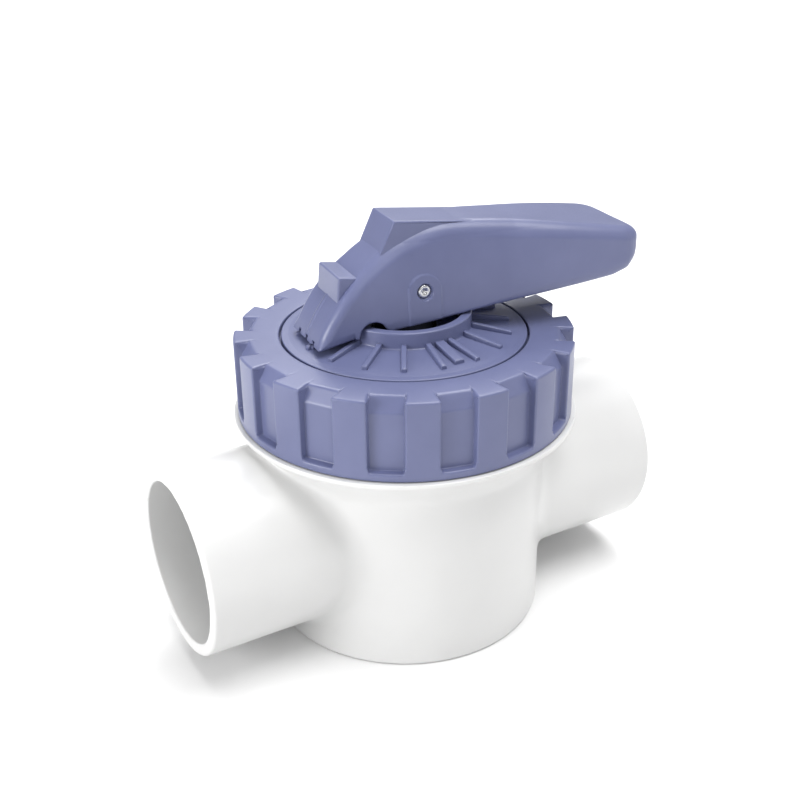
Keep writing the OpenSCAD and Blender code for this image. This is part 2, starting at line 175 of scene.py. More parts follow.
def turned(points, angle):
    """Points turned about the vertical axis."""
    c, s = math.cos(angle), math.sin(angle)
    return [(x * c - y * s, x * s + y * c, z) for x, y, z in points]


def thread(shape, root_r, crest_r, low):
    """Screw ridge with tapered flanks and ends that sink into the wall."""
    total = int(THREAD_STEPS * THREAD_TURNS)
    root_half, crest_half = THREAD_WIDTH * 0.7, THREAD_WIDTH * 0.3
    sections = []
    for i in range(total + 1):
        angle = math.tau * i / THREAD_STEPS
        z = low + THREAD_PITCH * i / THREAD_STEPS
        swell = min(1, i / THREAD_RUNOUT, (total - i) / THREAD_RUNOUT)
        crest = root_r + (crest_r - root_r) * swell
        c, s = math.cos(angle), math.sin(angle)
        ring = [
            (root_r, z - root_half), (crest, z - crest_half),
            (crest, z + crest_half), (root_r, z + root_half),
        ]
        sections.append([(r * c, r * s, h) for r, h in ring])
    if crest_r < root_r:
        sections = [section[::-1] for section in sections]
    shape.loft([section[::-1] for section in sections])


# ------------------------------------------------- surfaces from distance fields

def polygon_distance(x, y, corners):
    """Signed distance to a closed polygon, negative inside, for arrays x and y."""
    best = np.full(x.shape, 1e9)
    inside = np.zeros(x.shape, bool)
    count = len(corners)
    for i in range(count):
        ax, ay = corners[i]
        bx, by = corners[(i + 1) % count]
        ex, ey = bx - ax, by - ay
        t = ((x - ax) * ex + (y - ay) * ey) / max(ex * ex + ey * ey, 1e-12)
        t = np.clip(t, 0, 1)
        best = np.minimum(best, (x - ax - t * ex) ** 2 + (y - ay - t * ey) ** 2)
        if ay != by:
            crosses = (ay > y) != (by > y)
            inside ^= crosses & (x < ax + (y - ay) * ex / ey)
    return np.where(inside, -1, 1) * np.sqrt(best)


def round_meet(a, b, radius):
    """Intersection of two distance fields whose common edge is rounded."""
    outer = np.sqrt(np.maximum(a + radius, 0) ** 2 + np.maximum(b + radius, 0) ** 2)
    return np.minimum(np.maximum(a, b) + radius, 0) + outer - radius


def soft_join(a, b, reach):
    """Union of two distance fields with a smooth fillet."""
    h = np.maximum(reach - np.abs(a - b), 0) / reach
    return np.minimum(a, b) - h * h * reach / 4


def smooth_step(t):
    """Smooth rise from 0 to 1 as t goes from 0 to 1."""
    t = np.clip(t, 0, 1)
    return t * t * (3 - 2 * t)


def surface_net(xs, ys, zs, field):
    """Closed quad mesh of the zero level of field on a grid of planes."""
    grid = np.meshgrid(xs, ys, zs, indexing="ij")
    values = field(*grid)
    inside = values < 0
    shape = [n - 1 for n in values.shape]
    # A grid cell's point is the mean of the places where its edges cross the surface
    total = np.zeros(shape + [3])
    hits = np.zeros(shape)
    for axis in range(3):
        lower = [slice(None)] * 3
        upper = [slice(None)] * 3
        lower[axis], upper[axis] = slice(0, -1), slice(1, None)
        a, b = values[tuple(lower)], values[tuple(upper)]
        cut = inside[tuple(lower)] != inside[tuple(upper)]
        t = np.where(cut, a / np.where(cut, a - b, 1), 0)
        place = []
        for k in range(3):
            at = grid[k][tuple(lower)]
            if k == axis:
                at = at + t * (grid[k][tuple(upper)] - at)
            place.append(at)
        place = np.stack(place, -1) * cut[..., None]
        others = [k for k in range(3) if k != axis]
        for i in (0, 1):
            for j in (0, 1):
                part = [slice(None)] * 3
                part[others[0]] = slice(i, place.shape[others[0]] - 1 + i)
                part[others[1]] = slice(j, place.shape[others[1]] - 1 + j)
                total += place[tuple(part)]
                hits += cut[tuple(part)]
    used = hits > 0
    number = np.full(shape, -1)
    number[used] = np.arange(used.sum())
    points = total[used] / hits[used][:, None]

    # A crossed grid edge gives one quad, through the points of the four cells round it
    faces = []
    for axis in range(3):
        others = [(axis + 1) % 3, (axis + 2) % 3]
        lower = [slice(1, -1)] * 3
        upper = [slice(1, -1)] * 3
        lower[axis], upper[axis] = slice(0, -1), slice(1, None)
        first, second = inside[tuple(lower)], inside[tuple(upper)]
        for flip, where in ((False, first & ~second), (True, ~first & second)):
            at = np.argwhere(where)
            at[:, others[0]] += 1
            at[:, others[1]] += 1
            quad = []
            for da, db in ((0, 0), (-1, 0), (-1, -1), (0, -1)):
                cell = at.copy()
                cell[:, others[0]] += da
                cell[:, others[1]] += db
                quad.append(number[cell[:, 0], cell[:, 1], cell[:, 2]])
            quad = np.stack(quad, -1)
            faces.append(quad[:, ::-1] if flip else quad)
    faces = np.concatenate(faces)

    def slope(p):
        """Gradient of the field at points p."""
        step = 0.02
        out = np.empty_like(p)
        for k in range(3):
            shift = np.zeros(3)
            shift[k] = step
            high, low = p + shift, p - shift
            out[:, k] = field(*high.T) - field(*low.T)
        return out / (2 * step)

    # The points then move onto the surface itself
    for _ in range(3):
        g = slope(points)
        size = np.maximum((g * g).sum(1), 0.2)
        move = g * (field(*points.T) / size)[:, None]
        points = points - np.clip(move, -0.5, 0.5)
    g = slope(points)
    normals = g / np.maximum(np.linalg.norm(g, axis=1), 1e-9)[:, None]
    return points.tolist(), faces.tolist(), normals.tolist()


def spaced(start, end, step, fine=()):
    """Grid planes from start to end, closer together inside the fine ranges."""
    places = [start]
    while places[-1] < end:
        at = places[-1]
        near = any(lo - 1e-6 <= at < hi for lo, hi in fine)
        places.append(at + (FINE_STEP if near else step))
    return np.array(places)


# ---------------------------------------------------------------- materials

def base_material(name, colour, roughness, metallic=0.0, specular=0.5):
    """Material with its shader's own colour, gloss and specular level set."""
    material = bpy.data.materials.new(name)
    material.use_nodes = True
    material.diffuse_color = (*colour, 1)
    shader = material.node_tree.nodes["Principled BSDF"]
    shader.inputs["Base Color"].default_value = (*colour, 1)
    shader.inputs["Roughness"].default_value = roughness
    shader.inputs["Metallic"].default_value = metallic
    shader.inputs["Specular IOR Level"].default_value = specular
    return material, shader


def noise(material, scale, detail, roughness=0.55, stretch=(1, 1, 1)):
    """Noise in the object's own metres."""
    tree = material.node_tree
    place = tree.nodes.new("ShaderNodeTexCoord")
    mapping = tree.nodes.new("ShaderNodeMapping")
    mapping.inputs["Scale"].default_value = stretch
    texture = tree.nodes.new("ShaderNodeTexNoise")
    texture.inputs["Scale"].default_value = scale
    texture.inputs["Detail"].default_value = detail
    texture.inputs["Roughness"].default_value = roughness
    tree.links.new(place.outputs["Object"], mapping.inputs["Vector"])
    tree.links.new(mapping.outputs["Vector"], texture.inputs["Vector"])
    return texture.outputs["Fac"]


def ramp_to(material, source, socket, stops):
    """Sends a value to a shader socket through a colour ramp of two stops."""
    tree = material.node_tree
    ramp = tree.nodes.new("ShaderNodeValToRGB")
    for element, (place, colour) in zip(ramp.color_ramp.elements, stops):
        element.position = place
        element.color = (*colour, 1)
    tree.links.new(source, ramp.inputs["Fac"])
    tree.links.new(ramp.outputs["Color"], socket)


def value_to(material, source, socket, low, high):
    """Sends a value to a shader socket, mapped to a range."""
    tree = material.node_tree
    mapped = tree.nodes.new("ShaderNodeMapRange")
    mapped.inputs["To Min"].default_value = low
    mapped.inputs["To Max"].default_value = high
    tree.links.new(source, mapped.inputs["Value"])
    tree.links.new(mapped.outputs["Result"], socket)


def bump_from(material, shader, layers):
    """Chains bump nodes, one for each (value, strength, distance) layer."""
    tree = material.node_tree
    normal = None
    for source, strength, distance in layers:
        bump = tree.nodes.new("ShaderNodeBump")
        bump.inputs["Strength"].default_value = strength
        bump.inputs["Distance"].default_value = distance
        tree.links.new(source, bump.inputs["Height"])
        if normal:
            tree.links.new(normal, bump.inputs["Normal"])
        normal = bump.outputs["Normal"]
    tree.links.new(normal, shader.inputs["Normal"])


def moulded_blue():
    """Blue grey ABS: satin, faintly mottled, with the fine grain of a moulded part."""
    material, shader = base_material("moulded_blue", (0.121, 0.135, 0.253), 0.33)
    cloud = noise(material, 55, 3)
    grain = noise(material, 1400, 4, 0.7)
    ramp_to(material, cloud, shader.inputs["Base Color"], [
        (0.30, (0.113, 0.127, 0.240)), (0.70, (0.129, 0.144, 0.266)),
    ])
    value_to(material, grain, shader.inputs["Roughness"], 0.26, 0.40)
    bump_from(material, shader, [(cloud, 0.10, 0.0004), (grain, 0.16, 0.00008)])
    return material


def moulded_white():
    """White PVC: smooth, with a broad soft gloss and hardly any colour."""
    material, shader = base_material("moulded_white", (0.65, 0.65, 0.645), 0.3)
    cloud = noise(material, 30, 2)
    grain = noise(material, 500, 3)
    ramp_to(material, cloud, shader.inputs["Base Color"], [
        (0.3, (0.637, 0.637, 0.632)), (0.7, (0.663, 0.663, 0.658)),
    ])
    value_to(material, grain, shader.inputs["Roughness"], 0.26, 0.36)
    bump_from(material, shader, [(cloud, 0.08, 0.0005), (grain, 0.05, 0.00006)])
    return material


def turned_steel():
    """Stainless steel with fine turning marks."""
    material, shader = base_material("turned_steel", (0.62, 0.62, 0.63), 0.22, metallic=1.0)
    marks = noise(material, 900, 3, 0.6, (1, 1, 6))
    value_to(material, marks, shader.inputs["Roughness"], 0.14, 0.34)
    bump_from(material, shader, [(marks, 0.12, 0.00003)])
    return material


def seal_rubber():
    """Black EPDM with a dull bloom."""
    material, shader = base_material("seal_rubber", (0.016, 0.016, 0.017), 0.6)
    bloom = noise(material, 120, 4)
    ramp_to(material, bloom, shader.inputs["Base Color"], [
        (0.35, (0.013, 0.013, 0.014)), (0.75, (0.024, 0.024, 0.025)),
    ])
    value_to(material, bloom, shader.inputs["Roughness"], 0.5, 0.7)
    bump_from(material, shader, [(noise(material, 1800, 3), 0.2, 0.00005)])
    return material


def white_acetal():
    """Machined acetal: milky, slightly waxy."""
    material, shader = base_material("white_acetal", (0.78, 0.78, 0.74), 0.38)
    marks = noise(material, 420, 3)
    ramp_to(material, marks, shader.inputs["Base Color"], [
        (0.3, (0.76, 0.76, 0.72)), (0.7, (0.80, 0.80, 0.765)),
    ])
    value_to(material, marks, shader.inputs["Roughness"], 0.32, 0.45)
    bump_from(material, shader, [(marks, 0.1, 0.00004)])
    return material


def glass_filled_black():
    """Dark glass filled plastic of the rotor, with short fibres showing in its skin."""
    material, shader = base_material("glass_filled_black", (0.040, 0.043, 0.050), 0.5)
    fibres = noise(material, 700, 5, 0.7, (1, 3, 1))
    ramp_to(material, fibres, shader.inputs["Base Color"], [
        (0.35, (0.036, 0.039, 0.046)), (0.72, (0.060, 0.063, 0.070)),
    ])
    value_to(material, fibres, shader.inputs["Roughness"], 0.42, 0.6)
    bump_from(material, shader, [(fibres, 0.15, 0.00006)])
    return material


MATERIALS = {
    "blue_abs": moulded_blue(),
    "white_pvc": moulded_white(),
    "stainless": turned_steel(),
    "rubber": seal_rubber(),
    "acetal": white_acetal(),
    "dark_plastic": glass_filled_black(),
}
CAD_MATERIALS = {
    "stainless": [
        "upper_spring_washer", "rotor_spring", "lower_spring_washer", "stem_screws", "clamp_screws",
    ],
    "rubber": [
        "cover_o_ring", "dust_wiper", "upper_stem_o_ring", "lower_stem_o_ring", "diverter_seal",
    ],
    "acetal": ["pivot_bush", "slip_washer", "stem_bush", "pin_spacers"],
    "dark_plastic": ["stem", "diverter", "seal_clamp"],
}


# ---------------------------------------------------------------- lock ring

POCKETS = 16
POCKET_PHASE = math.radians(8.8)
POCKET_HALF_W = 6.5
POCKET_FLOOR_X = RING_R - 3.0
POCKET_TOP_X = 59.1
POCKET_LEDGE = RING_LOW + 3.0
POCKET_SLOPE_LOW = RING_TOP - 5.5
POCKET_CORNER = 1.5
EDGE_R = 0.8
WALL_RUN = 0.35
LAND_START = 1.1


def ring_rows():
    """Rows of the ring's section as (land radius, land z, pocket x, pocket z, is ledge, inward).

    Land is the outside between two pockets, and inward is the way that a pocket's edge is
    rounded off, as (radius, z).
    """
    rows = []
    ledge, slope = POCKET_LEDGE, POCKET_SLOPE_LOW
    wall_top = washer_hi.z + 0.02
    side, down = (-1, 0), (0, -1)

    def same(r, z, inward=side):
        rows.append((r, z, r, z, False, inward))

    same(RING_BORE_R, RING_LOW + 0.3)
    same(RING_BORE_R + 0.3, RING_LOW)
    same(RING_R - 0.5, RING_LOW)
    same(RING_R - 0.12, RING_LOW + 0.12)
    same(RING_R, RING_LOW + 0.5)
    same(RING_R, RING_LOW + 1.4)
    for k in range(5):
        a = math.pi / 2 * k / 4
        drop = EDGE_R * (1 - math.cos(a))
        z = ledge - EDGE_R * (1 - math.sin(a))
        rows.append((RING_R, z, RING_R - drop, z, True, side))
    rows.append((RING_R, ledge + 0.2, POCKET_FLOOR_X + 0.3, ledge + 0.12, True, side))
    rows.append((RING_R, ledge + 0.5, POCKET_FLOOR_X + 0.08, ledge + 0.25, True, side))
    rows.append((RING_R, ledge + 0.9, POCKET_FLOOR_X, ledge + 0.6, True, side))
    rows.append((RING_R, ledge + 2.4, POCKET_FLOOR_X, ledge + 2.2, False, side))
    for z in (96, 100, 104, 108, slope - 1):
        rows.append((RING_R, z, POCKET_FLOOR_X, z, False, side))
    rows.append((RING_R, slope - 0.2, POCKET_FLOOR_X, slope - 0.25, False, side))
    rows.append((RING_R, slope + 0.3, POCKET_FLOOR_X - 0.17, slope + 0.25, False, side))

    # The pocket's slope rises while the land goes over the ring's rounded top edge
    land_end = math.hypot(POCKET_TOP_X, POCKET_HALF_W)
    corner = EDGE_R * 0.3
    land = [
        (RING_R, RING_TOP - 3, side), (RING_R, RING_TOP - 1.2, side),
        (RING_R, RING_TOP - EDGE_R, side), (RING_R - 0.04, RING_TOP - EDGE_R * 0.62, side),
        (RING_R - corner, RING_TOP - corner, (-0.7, -0.7)),
        (RING_R - EDGE_R * 0.62, RING_TOP - 0.04, down), (RING_R - EDGE_R, RING_TOP, down),
        (RING_R - 2, RING_TOP, down), (RING_R - 4, RING_TOP, down), (land_end, RING_TOP, down),
    ]
    for k, (r, z, inward) in enumerate(land):
        t = (k + 1) / len(land) * 0.94 + 0.02
        x = POCKET_FLOOR_X + (POCKET_TOP_X - POCKET_FLOOR_X) * t
        rows.append((r, z, x, slope + (RING_TOP - slope) * t, False, inward))

    rows.append((land_end - 0.4, RING_TOP, POCKET_TOP_X - 0.35, RING_TOP, False, down))
    same(POCKET_TOP_X - 1.2, RING_TOP, down)
    same(54, RING_TOP, down)
    same(RING_HOLE_R + 0.6, RING_TOP, down)
    same(RING_HOLE_R + 0.15, RING_TOP - 0.12, down)
    same(RING_HOLE_R, RING_TOP - 0.5, down)
    same(RING_HOLE_R, wall_top + 0.2, down)
    same(RING_HOLE_R + 0.2, wall_top, down)
    same(RING_BORE_R - 0.6, wall_top, down)
    same(RING_BORE_R, wall_top - 0.5, down)
    return rows


def ring_columns():
    """Columns over half a pocket pitch: (is land, distance outside the pocket or share of land)."""
    inner = [-POCKET_HALF_W, -4.2, -2.6, -POCKET_CORNER, -1.1, -0.8, -0.55]
    wall = [-WALL_RUN, -WALL_RUN * 0.5, 0.0]
    rounding = [0.08, 0.22, 0.45, EDGE_R]
    land = [0.25, 0.5, 0.75, 1.0]
    beside = inner + wall + rounding + [LAND_START]
    return [(False, e) for e in beside] + [(True, share) for share in land]


def ring_point(row, column):
    """One point of the ring, in the frame of its pocket, whose middle is at y = 0."""
    land_r, land_z, pocket_x, pocket_z, is_ledge, inward = row
    is_land, value = column
    if is_land:
        start = math.asin((POCKET_HALF_W + LAND_START) / land_r)
        angle = start + (math.pi / POCKETS - start) * value
        return land_r * math.cos(angle), land_r * math.sin(angle), land_z
    y = POCKET_HALF_W + value
    corner_lift = 0.0
    if is_ledge and value > -POCKET_CORNER:
        inside = min(POCKET_CORNER, POCKET_CORNER + value)
        corner_lift = POCKET_CORNER - math.sqrt(POCKET_CORNER ** 2 - inside ** 2)
    sunk = depth = 0.0
    if (land_r, land_z) != (pocket_x, pocket_z):
        sunk = EDGE_R - math.sqrt(EDGE_R ** 2 - (EDGE_R - min(max(value, 0), EDGE_R)) ** 2)
        depth = min(1.0, max(0.0, -value / WALL_RUN))
    x = math.sqrt((land_r + inward[0] * sunk) ** 2 - y * y)
    x += (pocket_x - x) * depth
    if is_ledge and RING_R - pocket_x < EDGE_R + 0.01:
        x = math.sqrt(RING_R ** 2 - y * y) - (RING_R - pocket_x) * depth
    z = land_z + inward[1] * sunk + corner_lift
    z += (pocket_z + corner_lift - z) * depth
    return x, y, z


def lock_ring():
    """Ring with a row of gripping pockets, and a thread in its bore."""
    shape = Shape()
    half = ring_columns()
    columns = [(c, -1) for c in reversed(half[1:-1])] + [(c, 1) for c in half]
    rows = []
    for row in ring_rows():
        line = []
        for i in range(POCKETS):
            angle = POCKET_PHASE + math.tau * i / POCKETS
            points = []
            for column, side in columns:
                x, y, z = ring_point(row, column)
                points.append((x, y * side, z))
            line.extend(turned(points, angle))
        rows.append(line)
    shape.grid(rows, True)
    thread(shape, RING_BORE_R + 0.1, NECK_R + 0.5, FLANGE_Z + 9.5)
    make_piece(
        "lock_ring_detailed", shape.points, shape.faces, "lock_ring", "blue_abs", "lock_ring")


# ---------------------------------------------------------------- cover

RIBS = 18
RIB_PHASE = math.radians(-0.6)
RIB_REACH = 41.5
RIB_HALF_W = 1.0
RIB_EDGE = 0.4
RIB_DRAFT = 0.35
RIB_END_H = 1.8
RIB_FALL = 0.17
WIDE_RIB_HALF_W = 1.9
WIDE_RIB_REACH = 40.0
CONE_R = 44.5
CONE_RISE = 2.4
COLLAR_WALL = 3.4
COLLAR_FLOOR = 2.0
PLUG_R = 51.6
PLUG_IN_R = 46.4
PLUG_LOW = 97.0
GROOVE_R = 50.0
GROOVE_Z = 103.0
GROOVE_HALF_H = 1.8
COVER_FLANGE_R = 57.4
COVER_UNDERSIDE = 112.0
BOSS_R = 17.0
BOSS_BORE_R = 12.5


def cover_profile():
    """Closed section of the cover, with every moulded edge rounded."""
    top = RING_TOP
    flange_top = washer_lo.z - 0.02
    collar_in = COLLAR_R - COLLAR_WALL
    groove_low, groove_high = GROOVE_Z - GROOVE_HALF_H, GROOVE_Z + GROOVE_HALF_H
    return fillet_path([
        (PLUG_IN_R, PLUG_LOW, 0.3), (PLUG_R, PLUG_LOW, 0.5),
        (PLUG_R, groove_low, 0.2), (GROOVE_R, groove_low, 0.3),
        (GROOVE_R, groove_high, 0.3), (PLUG_R, groove_high, 0.2),
        (PLUG_R, NECK_TOP, 0.3), (COVER_FLANGE_R, NECK_TOP, 0.4),
        (COVER_FLANGE_R, flange_top, 0.5), (COVER_DISC_R, flange_top, 0.3),
        (COVER_DISC_R, top - 0.05, 0.45), (CONE_R, top + 0.05, 3),
        (COLLAR_R, top + CONE_RISE, 0.9), (COLLAR_R, COLLAR_TOP, 0.7),
        (collar_in, COLLAR_TOP, 0.6), (collar_in, top + COLLAR_FLOOR, 0.8),
        (BOSS_BORE_R + 0.1, top + COLLAR_FLOOR, 0.3), (BOSS_BORE_R, BOSS_LOW, 0.3),
        (BOSS_R, BOSS_LOW, 0.5), (BOSS_R, COVER_UNDERSIDE, 1.5),
        (PLUG_IN_R, COVER_UNDERSIDE, 1.5),
    ])


def cover_rib(half_w, reach):
    """One locking rib, falling from the collar, with rounded top edges and a rounded end."""
    foot = RING_TOP - 0.6
    stations = [
        (COLLAR_R - 1.2, 0), (COLLAR_R + 1, 0), (30, 0), (35, 0),
        (reach - 1.2, 0), (reach - 0.4, 0), (reach - 0.12, 0.12), (reach, 0.4),
    ]
    sections = []
    for r, sink in stations:
        top = RING_TOP + RIB_END_H + (RIB_REACH - r) * RIB_FALL - sink
        w = half_w - sink * 0.5
        edge = RIB_EDGE - sink * 0.3
        nip = edge * 0.3
        half = [(w + RIB_DRAFT, foot), (w, top - edge), (w - nip, top - nip), (w - edge, top)]
        outline = half + [(-y, z) for y, z in reversed(half)]
        sections.append([(r, y, z) for y, z in outline])
    return sections


def cover():
    """Cover with its sealing plug, its sloping disc and collar, and the locking ribs."""
    shape = Shape()
    shape.lathe(cover_profile())
    for i in range(RIBS):
        angle = RIB_PHASE + math.tau * i / RIBS
        shape.loft([turned(s, angle) for s in cover_rib(RIB_HALF_W, RIB_REACH)])
    for i in range(4):
        angle = RIB_PHASE + math.pi / 2 * (i - 1)
        shape.loft([turned(s, angle) for s in cover_rib(WIDE_RIB_HALF_W, WIDE_RIB_REACH)])
    make_piece("cover_detailed", shape.points, shape.faces, "valve", "blue_abs", "cover")


# ---------------------------------------------------------------- valve body

PORT_EDGE = 1.3
PORT_FILLET = 5.0
SOCKET_R = 31.5
WATER_R = 28.5
SOCKET_DEPTH = 38.0
BRANCH_DEPTH = 32.0
FLOOR_R = 47.4
FLOOR_T = 7.0
SPLIT_Z = 85.6
CHAMBER_EDGE = 1.4
CHAMBER_MID_Z = 40.0
FLARE_LOW = 70.0
FLARE_RUN = 22.0
FLARE_OUT = 12.012
MOUTH_RUN = 0.9
MOUTH_FLARE = 0.7
SOCKET_FILLET = 2.2
HOLLOW_JOIN = 1.6
BODY_STEP = 1.4
FAR = 50.0
NECK_BORE_R = 52.0
SEAT_TOP = 95.0
BEARING_BORE_R = 10.5
BEARING_R = 13.5
BEARING_TOP = 13.0


def body_field(x, y, z):
    """Distance field of the chamber with its three ports, below the flange."""
    ways = (
        (x, y, RUN_LENGTH, SOCKET_DEPTH), (-x, y, RUN_LENGTH, SOCKET_DEPTH),
        (y, x, BRANCH_LENGTH, BRANCH_DEPTH),
    )
    r = np.hypot(x, y)
    low = round_meet(r - CHAMBER_R, -z, CHAMBER_EDGE)
    flared = r - CHAMBER_R - FLARE_OUT * smooth_step((z - FLARE_LOW) / FLARE_RUN)
    chamber = np.where(z < CHAMBER_MID_Z, low, np.maximum(flared, z - SPLIT_Z))
    ports = np.full(x.shape, FAR)
    taper = FLOOR_R + (SEAT_R - FLOOR_R) * (z - FLOOR_T) / (FLANGE_Z - FLOOR_T)
    inside = round_meet(r - taper, FLOOR_T - z, 2.0)
    for along, across, length, depth in ways:
        radius = np.hypot(across, z - PORT_Z)
        tube = round_meet(radius - PORT_R, along - length, PORT_EDGE)
        ports = np.minimum(ports, np.where(along > 0, tube, FAR))
        water = np.where(along > 0, radius - WATER_R, FAR)
        mouth = MOUTH_FLARE * np.clip((along - length + MOUTH_RUN) / MOUTH_RUN, 0, 3) ** 2
        socket = round_meet(radius - SOCKET_R - mouth, length - depth - along, SOCKET_FILLET)
        for hollow in (water, socket):
            inside = -round_meet(-inside, -hollow, HOLLOW_JOIN)
    outside = np.maximum(soft_join(chamber, ports, PORT_FILLET), z - SPLIT_Z)
    return np.maximum(outside, -inside)


def neck_profile():
    """Closed section of the flange and the threaded neck."""
    return fillet_path([
        (SEAT_R - 0.02, SPLIT_Z - 1.5, 0), (FLANGE_R - 4.5, SPLIT_Z - 1.5, 0),
        (FLANGE_R - 1.6, SPLIT_Z - 0.5, 0.6), (FLANGE_R, SPLIT_Z - 0.1, 0.7),
        (FLANGE_R, FLANGE_Z, 0.6), (NECK_R, FLANGE_Z, 0.6),
        (NECK_R, NECK_TOP, 0.5), (NECK_BORE_R, NECK_TOP, 0.5),
        (NECK_BORE_R, SEAT_TOP, 0.4), (SEAT_R, SEAT_TOP, 0.4),
    ])


def bearing_profile():
    """Closed section of the bearing ring on the chamber's floor."""
    foot = FLOOR_T - 0.5
    return fillet_path([
        (BEARING_BORE_R, foot, 0), (BEARING_R, foot, 0),
        (BEARING_R, BEARING_TOP, 0.5), (BEARING_BORE_R, BEARING_TOP, 0.4),
    ])


def valve_body():
    """Chamber with its ports, and the flange, neck, thread and lower bearing as a second piece."""
    ledge = RUN_LENGTH - SOCKET_DEPTH
    branch_ledge = BRANCH_LENGTH - BRANCH_DEPTH
    fine_x = [
        (-RUN_LENGTH - 1.5, -RUN_LENGTH + 2.5), (RUN_LENGTH - 2.5, RUN_LENGTH + 1.5),
        (-ledge - 2.5, -ledge + 2.5), (ledge - 2.5, ledge + 2.5),
    ]
    fine_y = [
        (BRANCH_LENGTH - 2.5, BRANCH_LENGTH + 1.5), (branch_ledge - 2.5, branch_ledge + 2.5),
    ]
    fine_z = [(-0.8, 2.2), (SPLIT_Z - 0.8, SPLIT_Z + 1)]
    xs = spaced(-RUN_LENGTH - 1.2, RUN_LENGTH + 1.2, BODY_STEP, fine_x)
    ys = spaced(-FLANGE_R - 1.2, BRANCH_LENGTH + 1.2, BODY_STEP, fine_y)
    zs = spaced(-0.6, SPLIT_Z + 1.2, BODY_STEP, fine_z)
    points, faces, normals = surface_net(xs, ys, zs, body_field)
    make_piece("body_chamber", points, faces, "valve", "white_pvc", "valve_body", normals)
    shape = Shape()
    shape.lathe(neck_profile())
    shape.lathe(bearing_profile(), 96)
    thread(shape, NECK_R - 0.1, NECK_R + 1.8, FLANGE_Z + 7)
    make_piece("body_neck", shape.points, shape.faces, "valve", "white_pvc", "valve_body")


# ---------------------------------------------------------------- handle

NOSE_REACH = 40.2
TAIL_REACH = 95.0
NOSE_HALF_W = 14.1
WAIST_HALF_W = 16.8
TAIL_HALF_W = 21.5
CREST_H = 43.6
CREST_U = 12.0
NOSE_TIP_H = 2.8
HANDLE_WALL = 3.0
TAIL_CORNER = 9.5
PIN_U = 1.7
PIN_H = PIN_Z - RING_TOP
BELLY_U = -13.0
BELLY_H = 6.65
BELLY_SLOPE = 0.091
NOSE_SLOPE = 0.17
WAIST_U = 10.0
WAIST_RUN = 72.0

# How far the sides lean in at the top, and how far the top edges are rounded, along the handle
LEAN_AT = ([-42, -32, -20, 0, 40, 60, 84, 95], [0.2, 1.0, 4.2, 4.2, 3.4, 1.9, 0.7, 0.6])
ROUND_AT = ([-42, -30, -18, 0, 40, 80, 95], [3.4, 3.6, 4.4, 6.0, 6.2, 5.4, 4.6])
LEAN_LOW = 6.0
LEAN_RUN = 32.0
FOOT_ROUND = 0.7
NOSE_ROUND = 0.9
NOSE_U = -26.0

PANEL_R = 6.6
PANEL_RAISE = 0.3
STRIP_HALF_W = 1.1
STRIP_RAISE = 0.25
PIN_BOSS_R = 7.0
PIN_BOSS_V = 10.8
NOTCH_U = -18.7
NOTCH_H = 5.6
NOTCH_R = 5.5
SLOT_HALF_W = 0.9
SLOT_PITCH = 7.0
SLOT_TOP = 4.3
SLOT_END_U = -36.5
HOLE_CLEARANCE = 0.1
HOLE_MOUTH = 0.45
HOLE_MOUTH_V = 14.4
FRONT_BLOCK = [(-31.2, 17.0), (-30.2, 28.6), (-22.5, 27.4), (-18, 26), (-22, 18)]
FRONT_BLOCK_HALF_W = 10.2
TOP_BLOCK = [(-15.8, 29.5), (-8.2, 46.6), (38, 40.9)]
TOP_BLOCK_HALF_W = 9.8
BLOCK_EDGE = 0.8
HANDLE_STEP = 0.62


def crest(u):
    """Height of the handle's top above the lock ring."""
    if u < CREST_U:
        t = min(1, (CREST_U - u) / (CREST_U + NOSE_REACH))
        return NOSE_TIP_H + (CREST_H - NOSE_TIP_H) * (1 - t ** 1.9) ** 0.78
    return CREST_H - 11.4 * ((u - CREST_U) / (TAIL_REACH - CREST_U)) ** 1.4


def belly(u):
    """Height of the handle's lower edge above the lock ring."""
    if u < BELLY_U:
        return NOSE_TIP_H + NOSE_SLOPE * (u + NOSE_REACH)
    return BELLY_H + BELLY_SLOPE * (u - BELLY_U)


def half_width(u):
    """Half the width of the handle's foot."""
    if u < WAIST_U:
        t = (u + NOSE_REACH) / (WAIST_U + NOSE_REACH)
        return NOSE_HALF_W + (WAIST_HALF_W - NOSE_HALF_W) * t
    t = min(1, (u - WAIST_U) / WAIST_RUN)
    return WAIST_HALF_W + (TAIL_HALF_W - WAIST_HALF_W) * t * t * (3 - 2 * t)


def side_outline(low):
    """Side view of the handle; low lowers its underside, to cut the hollow."""
    rise = [-NOSE_REACH + (NOSE_REACH + CREST_U) * (k / 40) ** 2 for k in range(41)]
    fall = [CREST_U + (TAIL_REACH - CREST_U) * k / 30 for k in range(1, 31)]
    under = [(TAIL_REACH, 24), (93, 20), (88, 17)]
    under += [(u, belly(u)) for u in (81, 30, BELLY_U + 0.1, BELLY_U - 0.1)]
    under += [(-NOSE_REACH, NOSE_TIP_H)]
    return [(u, crest(u)) for u in rise + fall] + [(u, h - low) for u, h in under]


def plan_outline():
    """Plan view of the handle with its flared sides and rounded tail corners."""
    mid = TAIL_REACH - TAIL_CORNER
    side = [(-NOSE_REACH - 3, NOSE_HALF_W - 0.1)]
    flared = [WAIST_U + (mid - WAIST_U) * k / 24 for k in range(25)]
    side += [(u, half_width(u)) for u in flared]
    corner_v = half_width(mid) - TAIL_CORNER
    for degrees in range(80, -1, -10):
        a = math.radians(degrees)
        side.append((mid + TAIL_CORNER * math.cos(a), corner_v + TAIL_CORNER * math.sin(a)))
    return side + [(u, -v) for u, v in reversed(side)]


